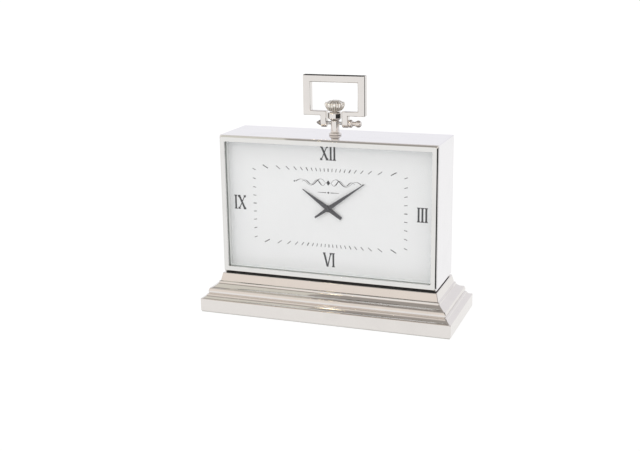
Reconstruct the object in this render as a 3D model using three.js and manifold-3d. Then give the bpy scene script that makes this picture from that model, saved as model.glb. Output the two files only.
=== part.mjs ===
// Mantel clock: a nickel box case on a stepped plinth, with a carriage handle, a crown knob and a
// quartz movement. Millimetres, +Z up. The dial faces -Y, and the origin is the centre of the
// footprint, on the surface that the clock stands on.
import * as THREE from "three";
import { mergeVertices } from "three/addons/utils/BufferGeometryUtils.js";
import Module from "manifold-3d";

const wasm = await Module();
wasm.setup();

// ---------------------------------------------------------------- driving dimensions

const GAP = 0.3; // between pieces that rest on each other
const CASE = { width: 250, depth: 71, height: 158.3, bottom: 44.1, wall: 2, corner: 1 };
const PLINTH = { outset: 21, foot: 1.3, top: 42.8, corner: 1.6, blockTop: 15.7 };
const FELT_THICK = 1;
const BOARD = { inset: 2.9, top: 12.7 };
const BEZEL = { width: 6, thick: 2.5, inset: 0.5, corner: 2.5 };
const GLASS_THICK = 2;
const DIAL = { depth: 11, thick: 1, lift: 1.5, hole: 3 };
const DIAL_BOARD_THICK = 6;
const FRAME_WALL = 9; // wooden frame inside the case
const ACCESS = { width: 100, height: 84, corner: 8 }; // opening in the back panel
const BOLT = { x: 85, shank: 2.45, hole: 2.8, head: 4.7, headHigh: 3.2, headLow: 1.6, recess: 5.4 };
const HEX_NUT = { flats: 8, bore: 2.7 };
const BACK_SCREW = { hole: 1.6, pilot: 1.5, shank: 1.3, head: 2.9, length: 11 };
const PAST = 1; // how far a cutting tool runs past the face that it cuts

const POST = { flange: 7, flangeHigh: 3.4, neck: 4.8, stud: 2.5, neckTop: 16 };
const PIN = { radius: 1.75, height: 13.1, left: -19.2, right: 26.2 };
const NUT = { high: 9.6, corner: 7.9, neck: 5.3, sides: 8 };
const KNOB = { low: 26.5, rim: 34.6, top: 38.8, radius: 11.7, lobes: 10, lobeDeep: 1 };
const HANDLE = { width: 71.3, low: 21.6, top: 65.6, side: 8.3, sill: 5, lintel: 7.6, thick: 8 };
const EAR = { inner: 9, outer: 15.8, radius: 4 };

const MOVEMENT = { size: 56, front: -15.8, wall: 1.5, trayWall: -11.3, trayWallHalf: 0.6 };
const HAND = { thick: 0.4, hourY: -26.6, minuteY: -27.8 };
const REST_TIME = { hourHand: 304.5, minuteHand: 54.5 }; // degrees clockwise from twelve

// ---------------------------------------------------------------- derived levels

const caseTop = CASE.bottom + CASE.height;
const frontY = -CASE.depth / 2;
const backY = CASE.depth / 2;
const caseMidZ = CASE.bottom + CASE.height / 2;
const dialZ = caseMidZ + DIAL.lift;
const glassFront = frontY + BEZEL.thick + GAP;
const glassBack = glassFront + GLASS_THICK;
const dialFront = frontY + DIAL.depth;
const dialBack = dialFront + DIAL.thick;
const boardFront = dialBack + GAP;
const boardBack = boardFront + DIAL_BOARD_THICK;
const innerHalfW = CASE.width / 2 - CASE.wall - GAP;
const innerHalfH = CASE.height / 2 - CASE.wall - GAP;
const panelFront = backY - 2.3;
const sightW = CASE.width - 2 * BEZEL.inset - 2 * BEZEL.width;
const sightH = CASE.height - 2 * BEZEL.inset - 2 * BEZEL.width - 1;
const frameFloor = CASE.bottom + CASE.wall + GAP + FRAME_WALL;

// ---------------------------------------------------------------- shape helpers

const turn = THREE.MathUtils.degToRad;

// A closed geometry as a manifold solid, with only its merged positions.
function solid(geometry) {
  const bare = geometry.clone();
  for (const name of Object.keys(bare.attributes)) {
    if (name !== "position") bare.deleteAttribute(name);
  }
  const merged = mergeVertices(bare, 1e-4);
  return new wasm.Manifold(
    new wasm.Mesh({
      numProp: 3,
      vertProperties: merged.attributes.position.array,
      triVerts: new Uint32Array(merged.index.array),
    }),
  );
}

function geometryOf(body) {
  const mesh = body.getMesh();
  const geometry = new THREE.BufferGeometry();
  geometry.setAttribute("position", new THREE.BufferAttribute(mesh.vertProperties, 3));
  geometry.setIndex(new THREE.BufferAttribute(mesh.triVerts, 1));
  return geometry;
}

function join(...pieces) {
  return geometryOf(pieces.map(solid).reduce((sum, next) => sum.add(next)));
}

function cut(piece, ...tools) {
  return geometryOf(tools.map(solid).reduce((rest, tool) => rest.subtract(tool), solid(piece)));
}

// A closed outline of [a, b] points.
function outline(points) {
  return new THREE.Shape(points.map(([a, b]) => new THREE.Vector2(a, b)));
}

// An outline drawn in X and Z, extruded from y0 to y1.
function prismY(shape, y0, y1) {
  const made = new THREE.ExtrudeGeometry(shape, { depth: y1 - y0, bevelEnabled: false });
  return made.rotateX(Math.PI / 2).translate(0, y1, 0);
}

// An outline drawn in X and Y, extruded from z0 to z1.
function prismZ(shape, z0, z1) {
  const made = new THREE.ExtrudeGeometry(shape, { depth: z1 - z0, bevelEnabled: false });
  return made.translate(0, 0, z0);
}

// An outline drawn in Y and Z, extruded from x0 to x1.
function prismX(shape, x0, x1) {
  const made = new THREE.ExtrudeGeometry(shape, { depth: x1 - x0, bevelEnabled: false });
  return made.rotateX(Math.PI / 2).rotateZ(Math.PI / 2).translate(x0, 0, 0);
}

function box(x0, x1, y0, y1, z0, z1) {
  const made = new THREE.BoxGeometry(x1 - x0, y1 - y0, z1 - z0);
  return made.translate((x0 + x1) / 2, (y0 + y1) / 2, (z0 + z1) / 2);
}

function cylinderY(radius, y0, y1, x, z, sides = 20) {
  return new THREE.CylinderGeometry(radius, radius, y1 - y0, sides).translate(x, (y0 + y1) / 2, z);
}

function cylinderZ(radius, z0, z1, x, y, sides = 16) {
  const made = new THREE.CylinderGeometry(radius, radius, z1 - z0, sides);
  return made.rotateX(Math.PI / 2).translate(x, y, (z0 + z1) / 2);
}

function cylinderX(radius, x0, x1, y, z, sides = 16) {
  const made = new THREE.CylinderGeometry(radius, radius, x1 - x0, sides);
  return made.rotateZ(Math.PI / 2).translate((x0 + x1) / 2, y, z);
}

// A profile of [radius, height] points turned about Z. It runs anticlockwise, with the axis on the
// left: up the outside, and down the axis or an inner wall.
function turned(profile, sides = 24) {
  const points = profile.map(([r, z]) => new THREE.Vector2(r, z));
  return new THREE.LatheGeometry(points, sides).rotateX(Math.PI / 2);
}

// The same, about X, so a point's height is its place along X.
function turnedX(profile, sides = 20) {
  return turned(profile, sides).rotateY(Math.PI / 2);
}

function ringProfile(inner, outer, low, high) {
  return [
    [inner, low],
    [outer, low],
    [outer, high],
    [inner, high],
    [inner, low],
  ];
}

function roundedRect(width, height, corner, midA = 0, midB = 0, steps = 3) {
  const points = [];
  for (let quarter = 0; quarter < 4; quarter++) {
    const start = quarter * (Math.PI / 2);
    const signA = quarter === 0 || quarter === 3 ? 1 : -1;
    const signB = quarter < 2 ? 1 : -1;
    for (let step = 0; step <= steps; step++) {
      const angle = start + (step / steps) * (Math.PI / 2);
      const a = midA + signA * (width / 2 - corner) + corner * Math.cos(angle);
      const b = midB + signB * (height / 2 - corner) + corner * Math.sin(angle);
      points.push([a, b]);
    }
  }
  return points;
}

// A flat frame in X and Z, extruded from y0 to y1.
function frameY(outer, inner, y0, y1) {
  const shape = outline(outer);
  shape.holes.push(new THREE.Path(inner.map(([a, b]) => new THREE.Vector2(a, b))));
  return prismY(shape, y0, y1);
}

function hexagon(acrossFlats, midA, midB) {
  return polygon(6, acrossFlats / 2 / Math.cos(Math.PI / 6), midA, midB, Math.PI / 6);
}

function polygon(sides, radius, midA = 0, midB = 0, start = 0) {
  const points = [];
  for (let side = 0; side < sides; side++) {
    const angle = start + (side / sides) * 2 * Math.PI;
    points.push([midA + radius * Math.cos(angle), midB + radius * Math.sin(angle)]);
  }
  return points;
}

// The two case bolts' holes, or other upright cylinders on their axes.
function boltHoles(low, high, radius = BOLT.hole) {
  return [-BOLT.x, BOLT.x].map((x) => cylinderZ(radius, low, high, x, 0));
}

// ---------------------------------------------------------------- scene helpers

const clock = new THREE.Group();
clock.name = "mantel_clock";

const finishes = {
  nickel: { color: 0xd9d5d0, roughness: 0.08, metalness: 1 },
  steel: { color: 0xb9bbc0, roughness: 0.3, metalness: 1 },
  brass: { color: 0xc9a85c, roughness: 0.3, metalness: 1 },
  copper: { color: 0xb0683c, roughness: 0.4, metalness: 1 },
  dialWhite: { color: 0xeeeeee, roughness: 0.6, metalness: 0 },
  handGrey: { color: 0x4b4b50, roughness: 0.4, metalness: 0.3 },
  clear: { color: 0xf4f8fa, roughness: 0.02, metalness: 0, transparent: true, opacity: 0.25 },
  blackPaint: { color: 0x18181a, roughness: 0.7, metalness: 0 },
  wood: { color: 0xa98a62, roughness: 0.8, metalness: 0 },
  felt: { color: 0xbdbdb9, roughness: 1, metalness: 0 },
  blackPlastic: { color: 0x202022, roughness: 0.5, metalness: 0 },
  whitePlastic: { color: 0xe8e6df, roughness: 0.5, metalness: 0 },
  boardGreen: { color: 0x27663a, roughness: 0.5, metalness: 0 },
  batteryBlue: { color: 0x3b5a86, roughness: 0.4, metalness: 0.2 },
  rubber: { color: 0x151515, roughness: 0.9, metalness: 0 },
};

const materials = Object.fromEntries(
  Object.entries(finishes).map(([name, values]) => [name, new THREE.MeshStandardMaterial(values)]),
);

function place(name, finish, geometry, home = clock) {
  const mesh = new THREE.Mesh(geometry, materials[finish]);
  mesh.name = name;
  home.add(mesh);
  return mesh;
}

// ---------------------------------------------------------------- plinth

// Half a moulding: [outset from the case face, height], from the foot to the top edge.
function plinthMoulding() {
  const path = new THREE.Path();
  path.moveTo(PLINTH.outset, PLINTH.foot);
  path.lineTo(PLINTH.outset, PLINTH.blockTop - 0.8);
  path.quadraticCurveTo(PLINTH.outset, PLINTH.blockTop, PLINTH.outset - 0.8, PLINTH.blockTop);
  path.quadraticCurveTo(16.6, 16.4, 15.1, 20);
  path.lineTo(13.4, 20.5);
  path.quadraticCurveTo(14.9, 23.4, 12.7, 26.6);
  path.quadraticCurveTo(8, 27.4, 4.9, 31.6);
  path.lineTo(4.7, 33.3);
  path.lineTo(3, 34);
  path.lineTo(1.1, 42);
  path.quadraticCurveTo(0.9, PLINTH.top, 0.1, PLINTH.top);
  return path.getPoints(5).map((point) => [point.x, point.y]);
}

// The hollow inside the moulding, in square steps from the foot up: [outset, top of the step].
const plinthHollow = [
  [18.4, 13],
  [11, 21.5],
  [2.3, 31],
  [-1.6, 40.3],
];

function plinthRing(outset) {
  return roundedRect(CASE.width + 2 * outset, CASE.depth + 2 * outset, PLINTH.corner);
}

// A closed skin over rings of equal count, with a flat bottom and top.
function skin(rings) {
  const count = rings[0].length;
  const positions = rings.flat(2);
  const faces = [];
  for (let row = 0; row + 1 < rings.length; row++) {
    for (let k = 0; k < count; k++) {
      const next = (k + 1) % count;
      const a = row * count + k;
      const b = row * count + next;
      const c = (row + 1) * count + next;
      const d = (row + 1) * count + k;
      faces.push(a, b, c, a, c, d);
    }
  }
  const last = (rings.length - 1) * count;
  for (let k = 1; k + 1 < count; k++) {
    faces.push(0, k + 1, k);
    faces.push(last, last + k, last + k + 1);
  }
  const geometry = new THREE.BufferGeometry();
  geometry.setAttribute("position", new THREE.Float32BufferAttribute(positions, 3));
  geometry.setIndex(faces);
  return geometry;
}

function plinthShell() {
  const rings = plinthMoulding().map(([outset, z]) => plinthRing(outset).map(([x, y]) => [x, y, z]));
  const hollows = plinthHollow.map(([outset, high]) => {
    const halfX = CASE.width / 2 + outset;
    const halfY = CASE.depth / 2 + outset;
    return box(-halfX, halfX, -halfY, halfY, PLINTH.foot - PAST, high);
  });
  return cut(skin(rings), ...hollows, ...boltHoles(PLINTH.top - 5, PLINTH.top + PAST));
}

const boardHalfX = CASE.width / 2 + PLINTH.outset - BOARD.inset;
const boardHalfY = CASE.depth / 2 + PLINTH.outset - BOARD.inset;

function baseBoard() {
  const blank = box(-boardHalfX, boardHalfX, -boardHalfY, boardHalfY, PLINTH.foot, BOARD.top);
  const recesses = boltHoles(PLINTH.foot - PAST, PLINTH.foot + 4.7, BOLT.recess);
  return cut(blank, ...boltHoles(PLINTH.foot - PAST, BOARD.top + PAST), ...recesses);
}

function caseBolt(x) {
  const { head, headLow, headHigh, shank } = BOLT;
  const neck = headLow + headHigh;
  const end = frameFloor + 6;
  const profile = [
    [0, headLow],
    [head - 0.6, headLow],
    [head, headLow + 0.6],
    [head, neck],
    [shank, neck],
    [shank, end],
    [0, end],
  ];
  return turned(profile, 12).translate(x, 0, 0);
}

function hexNut(low, high, x) {
  const shape = outline(hexagon(HEX_NUT.flats, x, 0));
  const bore = cylinderZ(HEX_NUT.bore, low - PAST, high + PAST, x, 0);
  return cut(prismZ(shape, low, high), bore);
}

const feltHalfX = CASE.width / 2 + PLINTH.outset - 1;
const feltHalfY = CASE.depth / 2 + PLINTH.outset - 1;
const spacer = { inset: 2, low: PLINTH.top + 0.2, high: CASE.bottom - 0.2 };
const spacerRect = roundedRect(CASE.width - 2 * spacer.inset, CASE.depth - 2 * spacer.inset, 1);

function caseSpacer() {
  const holes = boltHoles(spacer.low - PAST, spacer.high + PAST);
  return cut(prismZ(outline(spacerRect), spacer.low, spacer.high), ...holes);
}

place("felt_pad", "felt", box(-feltHalfX, feltHalfX, -feltHalfY, feltHalfY, 0, FELT_THICK));
place("base_board", "wood", baseBoard());
place("plinth_shell", "nickel", plinthShell());
place("case_spacer", "blackPaint", caseSpacer());
for (const [side, x] of [
  ["left", -BOLT.x],
  ["right", BOLT.x],
]) {
  place("case_bolt_" + side, "steel", caseBolt(x));
  place("case_nut_" + side, "steel", hexNut(frameFloor + GAP, frameFloor + 4, x));
}

// ---------------------------------------------------------------- case

function caseShell() {
  const outer = roundedRect(CASE.width, CASE.height, CASE.corner, 0, caseMidZ);
  const innerW = CASE.width - 2 * CASE.wall;
  const innerH = CASE.height - 2 * CASE.wall;
  const inner = roundedRect(innerW, innerH, 0.3, 0, caseMidZ, 1);
  const wrap = frameY(outer, inner, frontY + BEZEL.thick + GAP, backY);
  const bolts = boltHoles(CASE.bottom - PAST, CASE.bottom + CASE.wall + PAST);
  const stud = cylinderZ(POST.stud + GAP, caseTop - CASE.wall - PAST, caseTop + PAST, 0, 0);
  return cut(wrap, ...bolts, stud);
}

function frontBezel() {
  const width = CASE.width - 2 * BEZEL.inset;
  const height = CASE.height - 2 * BEZEL.inset;
  const round = 0.9;
  const slab = (grow, y) => {
    const corner = BEZEL.corner + grow;
    const ring = roundedRect(width + 2 * grow, height + 2 * grow, corner, 0, caseMidZ, 4);
    return ring.map(([x, z]) => [x, y, z]).reverse();
  };
  const rings = [slab(0, frontY + BEZEL.thick), slab(0, frontY + round)];
  for (const angle of [30, 60, 90]) {
    const inward = round * (1 - Math.cos(turn(angle)));
    rings.push(slab(-inward, frontY + round * (1 - Math.sin(turn(angle)))));
  }
  const window = outline(roundedRect(sightW, sightH, 0.6, 0, caseMidZ, 1));
  return cut(skin(rings.reverse()), prismY(window, frontY - PAST, frontY + BEZEL.thick + PAST));
}

function innerFrame() {
  const outer = roundedRect(2 * innerHalfW, 2 * innerHalfH, 0.6, 0, caseMidZ, 1);
  const openW = 2 * (innerHalfW - FRAME_WALL);
  const openH = 2 * (innerHalfH - FRAME_WALL);
  const inner = roundedRect(openW, openH, 0.6, 0, caseMidZ, 1);
  const frame = frameY(outer, inner, boardBack + GAP, panelFront - GAP);
  const bolts = boltHoles(CASE.bottom, frameFloor + PAST);
  const stud = cylinderZ(POST.stud + GAP, caseTop - 15, caseTop, 0, 0);
  const pilotEnd = panelFront - BACK_SCREW.length - PAST;
  const pilots = screwSpots.map(([x, z]) => cylinderY(BACK_SCREW.pilot, pilotEnd, backY, x, z, 10));
  return cut(frame, ...bolts, stud, ...pilots);
}

const screwSpots = [-1, 1].flatMap((right) =>
  [-1, 1].map((up) => [
    right * (innerHalfW - FRAME_WALL / 2),
    caseMidZ + up * (innerHalfH - FRAME_WALL / 2),
  ]),
);

function backPanel() {
  const outer = roundedRect(2 * innerHalfW, 2 * innerHalfH, 0.6, 0, caseMidZ, 1);
  const access = roundedRect(ACCESS.width, ACCESS.height, ACCESS.corner, 0, dialZ);
  const holes = screwSpots.map(([x, z]) =>
    cylinderY(BACK_SCREW.hole, panelFront - PAST, backY + PAST, x, z, 10),
  );
  return cut(frameY(outer, access, panelFront, backY - GAP), ...holes);
}

function backScrew(x, z) {
  const { head, shank, length } = BACK_SCREW;
  const headLow = 0.1;
  const profile = [
    [0, -length],
    [0.6, 1 - length],
    [shank, 2.4 - length],
    [shank, headLow],
    [head, headLow],
    [head, headLow + 0.6],
    [1.6, headLow + 1.3],
    [0, headLow + 1.3],
  ];
  const screw = turned(profile, 12).rotateX(-Math.PI / 2);
  const slot = box(-2.4, 2.4, headLow + 0.7, headLow + 3, -0.35, 0.35);
  return cut(screw, slot).translate(x, backY - GAP, z);
}

place("case_shell", "nickel", caseShell());
place("front_bezel", "nickel", frontBezel());
const stackW = 2 * innerHalfW;
const stackH = 2 * innerHalfH;
const stackRect = roundedRect(stackW, stackH, 0.6, 0, caseMidZ, 1);
const sightRect = roundedRect(sightW, sightH, 0.6, 0, caseMidZ, 1);
place("glass_pane", "clear", prismY(outline(stackRect), glassFront, glassBack));
place("dial_surround", "dialWhite", frameY(stackRect, sightRect, glassBack + GAP, dialFront - GAP));
place(
  "dial_plate",
  "dialWhite",
  cut(
    prismY(outline(stackRect), dialFront, dialBack),
    cylinderY(DIAL.hole, dialFront - 1, dialBack + 1, 0, dialZ),
  ),
);
place(
  "dial_board",
  "wood",
  cut(
    prismY(outline(stackRect), boardFront, boardBack),
    cylinderY(4.3, boardFront - 1, boardBack + 1, 0, dialZ),
    cylinderY(7.2, boardFront - 1, boardFront + 3, 0, dialZ),
  ),
);
place("inner_frame", "wood", innerFrame());
place("back_panel", "blackPaint", backPanel());
screwSpots.forEach(([x, z], index) => {
  place("back_screw_" + (index + 1), "steel", backScrew(x, z));
});

// ---------------------------------------------------------------- finial, pin and handle

const finial = new THREE.Group();
finial.position.z = caseTop;
clock.add(finial);

function finialPost() {
  const profile = [
    [0, -17],
    [POST.stud, -17],
    [POST.stud, 0.2],
    [POST.flange, 0.2],
    [POST.flange, 1.9],
    [POST.flange - 0.5, 2.9],
    [POST.flange - 1.6, POST.flangeHigh],
    [POST.neck, POST.flangeHigh + 0.5],
    [POST.neck, POST.neckTop - 0.5],
    [POST.neck - 0.5, POST.neckTop],
    [POST.stud, POST.neckTop],
    [POST.stud, 33],
    [0, 33],
  ];
  const bore = cylinderX(PIN.radius + 0.2, -10, 10, 0, PIN.height);
  return cut(turned(profile), bore);
}

// A faceted bead of eight sides.
function lockNut() {
  const low = POST.neckTop + GAP;
  const high = low + NUT.high;
  const profile = [
    [POST.stud + 0.4, low],
    [NUT.neck, low],
    [NUT.corner, low + 2.4],
    [NUT.corner, high - 1.6],
    [NUT.neck + 0.5, high],
    [POST.stud + 0.4, high],
    [POST.stud + 0.4, low],
  ];
  return turned(profile, NUT.sides).rotateZ(Math.PI / NUT.sides);
}

// A knob like a watch crown: a rounded bowl with a lobed rim and a low dome.
function crownKnob() {
  const { low, rim, top, radius, lobes, lobeDeep } = KNOB;
  const levels = [
    [5, low, 0],
    [7.6, low + 1.1, 0.2],
    [9.7, low + 3.1, 0.6],
    [radius - 0.4, low + 5.6, 1],
    [radius, rim, 1],
    [radius - 0.8, rim + 1.5, 1],
    [8.2, rim + 3, 0.8],
    [4.2, top - 0.3, 0.5],
    [1.2, top, 0],
  ];
  const around = lobes * 5;
  const rings = levels.map(([r, z, share]) => {
    const ring = [];
    for (let k = 0; k < around; k++) {
      const angle = (k / around) * 2 * Math.PI;
      const sink = 1 - Math.abs(Math.cos((lobes / 2) * angle));
      const reach = r - share * lobeDeep * sink;
      ring.push([reach * Math.cos(angle), reach * Math.sin(angle), z]);
    }
    return ring;
  });
  return cut(skin(rings), cylinderZ(POST.stud + 0.3, low - 1, 33.6, 0, 0));
}

function pinCap() {
  const profile = [
    [0, -21.6],
    [0.9, -21.3],
    [3, -17.6],
    [3, -16.1],
    [PIN.radius + 0.2, -16.1],
    [PIN.radius + 0.2, PIN.left - 0.2],
    [0, PIN.left - 0.2],
  ];
  return turnedX(profile).translate(0, 0, PIN.height);
}

// A bead that clamps the ear, a waist and a ball to hold.
function thumbNut() {
  const ballMid = 26.9;
  const ball = 4;
  const profile = [
    [0, PIN.right + 0.3],
    [PIN.radius + 0.2, PIN.right + 0.3],
    [PIN.radius + 0.2, 16.1],
    [3.6, 16.1],
    [4.5, 17.2],
    [4.5, 19.2],
    [3.6, 20.3],
    [2.6, 21],
    [2.5, 23.1],
  ];
  for (let angle = -40; angle <= 80; angle += 20) {
    profile.push([ball * Math.cos(turn(angle)), ballMid + ball * Math.sin(turn(angle))]);
  }
  profile.push([0, ballMid + ball]);
  return turnedX(profile, 20).translate(0, 0, PIN.height);
}

function handle() {
  const { width, low, top, side, sill, lintel, thick } = HANDLE;
  const half = width / 2;
  const windowHalf = half - side;
  const loop = [
    [-EAR.inner, low],
    [-EAR.inner, low + sill],
    [-windowHalf, low + sill],
    [-windowHalf, top - lintel],
    [windowHalf, top - lintel],
    [windowHalf, low + sill],
    [EAR.inner, low + sill],
    [EAR.inner, low],
    [half, low],
    [half, top],
    [-half, top],
    [-half, low],
  ];
  const tongue = [
    [-EAR.radius, low + 1],
    [-EAR.radius, PIN.height],
  ];
  for (let angle = 195; angle <= 345; angle += 15) {
    const y = EAR.radius * Math.cos(turn(angle));
    tongue.push([y, PIN.height - 0.8 + EAR.radius * Math.sin(turn(angle))]);
  }
  tongue.push([EAR.radius, PIN.height], [EAR.radius, low + 1]);
  const ears = [
    prismX(outline(tongue), -EAR.outer, -EAR.inner),
    prismX(outline(tongue), EAR.inner, EAR.outer),
  ];
  const bar = prismY(outline(loop), -thick / 2, thick / 2);
  return cut(join(bar, ...ears), cylinderX(PIN.radius + 0.2, -20, 20, 0, PIN.height));
}

place("finial_post", "nickel", finialPost(), finial);
place("post_washer", "steel", turned(ringProfile(2.8, 7, -12.6, -11.6)), finial);
place("post_nut", "steel", hexNut(-16.2, -12.9, 0), finial);
place("lock_nut", "nickel", lockNut(), finial);
place("crown_knob", "nickel", crownKnob(), finial);
place("pivot_pin", "steel", cylinderX(PIN.radius, PIN.left, PIN.right, 0, PIN.height), finial);
place("pin_cap", "nickel", pinCap(), finial);
place("thumb_nut", "nickel", thumbNut(), finial);
place("handle", "nickel", handle(), finial);

// ---------------------------------------------------------------- movement: layout

// Everything below is in the movement's own group: its origin is on the hand axis, on the front
// face of the movement, so Y is the depth into it, X is to the right and Z is up.
const movement = new THREE.Group();
movement.position.set(0, MOVEMENT.front, dialZ);
clock.add(movement);

const half = MOVEMENT.size / 2;
const inner = half - MOVEMENT.wall;
const caseEdge = 14.2;
const coverLow = caseEdge + GAP;
const chamberFloor = MOVEMENT.trayWall + MOVEMENT.trayWallHalf;
const trayTop = MOVEMENT.trayWall - MOVEMENT.trayWallHalf;

// Layers of wheels, from the dial side to the back.
const LAYER = { hour: 3.1, minute: 4.6, centre: 6.1, third: 7.6, seconds: 9.1, rotor: 10.6 };
const WHEEL_THICK = 1;
const PIVOT = { radius: 0.45, bore: 0.7, front: 0.3, back: 15.6 };
const ARBOR = 0.6;

// Tooth counts and modules. A pinion drives or is driven by the wheel of its own pair.
const PAIR = {
  cannon: { pinion: 10, wheel: 30, module: 0.6 },
  hour: { pinion: 8, wheel: 32, module: 0.6 },
  centre: { pinion: 6, wheel: 48, module: 0.42 },
  third: { pinion: 6, wheel: 45, module: 0.4 },
  seconds: { pinion: 6, wheel: 36, module: 0.4 },
  rotor: { pinion: 6, wheel: 30, module: 0.37 },
};

const reach = (pair) => ((pair.pinion + pair.wheel) / 2) * pair.module;

function step(from, distance, degrees) {
  return [
    from[0] + distance * Math.cos(turn(degrees)),
    from[1] + distance * Math.sin(turn(degrees)),
  ];
}

// Directions from one arbor to the next, in degrees anticlockwise from +X, seen from the dial.
const AIM = { minuteWheel: 40, setting: 60, third: 126.5, seconds: 170, intermediate: 279, rotor: 285 };

const centreAt = [0, 0];
const minuteWheelAt = step(centreAt, reach(PAIR.cannon), AIM.minuteWheel);
const settingAt = step(minuteWheelAt, reach(PAIR.cannon), AIM.setting);
const thirdAt = step(centreAt, reach(PAIR.centre), AIM.third);
const secondsAt = step(thirdAt, reach(PAIR.third), AIM.seconds);
const intermediateAt = step(secondsAt, reach(PAIR.seconds), AIM.intermediate);
const rotorAt = step(intermediateAt, reach(PAIR.rotor), AIM.rotor);

// ---------------------------------------------------------------- movement: gears

const TOOTH = { addendum: 0.9, dedendum: 1.2, tip: 0.11, root: 0.29 }; // modules, shares of a pitch

// A toothed disc. One tooth is centred on the direction phase, in radians from +X.
function toothed(teeth, module, phase, [x, z], y0) {
  const pitch = (2 * Math.PI) / teeth;
  const outer = (teeth / 2 + TOOTH.addendum) * module;
  const rootRadius = (teeth / 2 - TOOTH.dedendum) * module;
  const points = [];
  for (let tooth = 0; tooth < teeth; tooth++) {
    const mid = phase + tooth * pitch;
    for (const [radius, share] of [
      [rootRadius, -TOOTH.root],
      [outer, -TOOTH.tip],
      [outer, TOOTH.tip],
      [rootRadius, TOOTH.root],
    ]) {
      const angle = mid + share * pitch;
      points.push([x + radius * Math.cos(angle), z + radius * Math.sin(angle)]);
    }
  }
  return prismY(outline(points), y0, y0 + WHEEL_THICK);
}

// Phases of two gears in mesh: a tooth of the first points along degrees, into a gap of the second.
function meshPhases(degrees, secondTeeth) {
  return [turn(degrees), turn(degrees) + Math.PI + Math.PI / secondTeeth];
}

// The phase of a gear that meshes, along degrees, with one whose phase is already set.
function followPhase(firstPhase, firstTeeth, degrees, secondTeeth) {
  const pitch = (2 * Math.PI) / firstTeeth;
  const past = (turn(degrees) - firstPhase) / pitch;
  const share = past - Math.floor(past);
  return turn(degrees) + Math.PI + ((0.5 + share) * 2 * Math.PI) / secondTeeth;
}

function arbor([x, z], radius = ARBOR) {
  return join(
    cylinderY(PIVOT.radius, PIVOT.front, PIVOT.back, x, z, 8),
    cylinderY(radius, MOVEMENT.wall + 0.5, caseEdge - 0.4, x, z, 8),
  );
}

const [cannonPhase, minuteWheelPhase] = meshPhases(AIM.minuteWheel, PAIR.cannon.wheel);
const [hourPhase, hourPinionPhase] = meshPhases(AIM.minuteWheel, PAIR.hour.pinion);
const [centrePhase, thirdPinionPhase] = meshPhases(AIM.third, PAIR.centre.pinion);
const [thirdPhase, secondsPinionPhase] = meshPhases(AIM.seconds, PAIR.third.pinion);
const [secondsPhase, betweenPinionPhase] = meshPhases(AIM.intermediate, PAIR.seconds.pinion);
const [betweenPhase, rotorPinionPhase] = meshPhases(AIM.rotor, PAIR.rotor.pinion);
const settingPhase = followPhase(
  minuteWheelPhase,
  PAIR.cannon.wheel,
  AIM.setting,
  PAIR.cannon.pinion,
);

function pinionOf(pair, phase, at, layer) {
  return toothed(pair.pinion, pair.module, phase, at, layer);
}

function wheelOf(pair, phase, at, layer) {
  return toothed(pair.wheel, pair.module, phase, at, layer);
}

const TUBE = { inner: 1.75, outer: 2.6 };
const SHAFT = { radius: 1.5, rear: 1 };
const hourTubeFront = HAND.hourY - 0.1 - MOVEMENT.front;
const shaftFront = HAND.minuteY - 0.2 - MOVEMENT.front;

function minuteArbor() {
  return join(
    cylinderY(SHAFT.radius, shaftFront, LAYER.minute + WHEEL_THICK, 0, 0, 20),
    cylinderY(SHAFT.rear, LAYER.minute, caseEdge - 0.4, 0, 0),
    cylinderY(PIVOT.radius, LAYER.minute, PIVOT.back, 0, 0, 8),
    pinionOf(PAIR.cannon, cannonPhase, centreAt, LAYER.minute),
  );
}

function hourWheel() {
  const tube = cylinderY(TUBE.outer, hourTubeFront, LAYER.hour + WHEEL_THICK, 0, 0, 20);
  const wheel = wheelOf(PAIR.hour, hourPhase, centreAt, LAYER.hour);
  return cut(join(tube, wheel), cylinderY(TUBE.inner, hourTubeFront - 1, 6, 0, 0, 20));
}

function settingKnob() {
  const [x, z] = settingAt;
  const knobLow = coverLow + MOVEMENT.wall + GAP;
  const grip = polygon(16, 5.4, x, z).flatMap(([a, b], k) => {
    const far = k % 2 ? 0.93 : 1;
    return [[x + (a - x) * far, z + (b - z) * far]];
  });
  return join(
    pinionOf(PAIR.cannon, settingPhase, settingAt, LAYER.minute),
    cylinderY(PIVOT.radius, PIVOT.front, LAYER.minute + WHEEL_THICK, x, z, 8),
    cylinderY(1.1, LAYER.minute, knobLow + 1, x, z, 12),
    prismY(outline(grip), knobLow, knobLow + 3.6),
  );
}

function centreWheel() {
  const wheel = wheelOf(PAIR.centre, centrePhase, centreAt, LAYER.centre);
  return cut(wheel, cylinderY(SHAFT.rear + 0.15, LAYER.centre - 1, LAYER.centre + 2, 0, 0));
}

function rotor() {
  const [x, z] = rotorAt;
  return join(
    arbor(rotorAt),
    cylinderY(3, 8.4, 10.3, x, z, 20),
    pinionOf(PAIR.rotor, rotorPinionPhase, rotorAt, LAYER.rotor),
  );
}

// ---------------------------------------------------------------- movement: housing and drive

const pivotSpots = [minuteWheelAt, settingAt, thirdAt, secondsAt, intermediateAt, rotorAt];

function movementCase() {
  const blank = box(-half, half, 0, caseEdge, -half, half);
  const chamber = box(-inner, inner, MOVEMENT.wall, caseEdge + 1, chamberFloor, inner);
  const tray = box(-inner, inner, MOVEMENT.wall, caseEdge + 1, -inner, trayTop);
  const bores = pivotSpots.map(([x, z]) => cylinderY(PIVOT.bore, -1, 3, x, z, 8));
  return cut(blank, chamber, tray, cylinderY(4.2, -1, 3, 0, 0, 20), ...bores);
}

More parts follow.
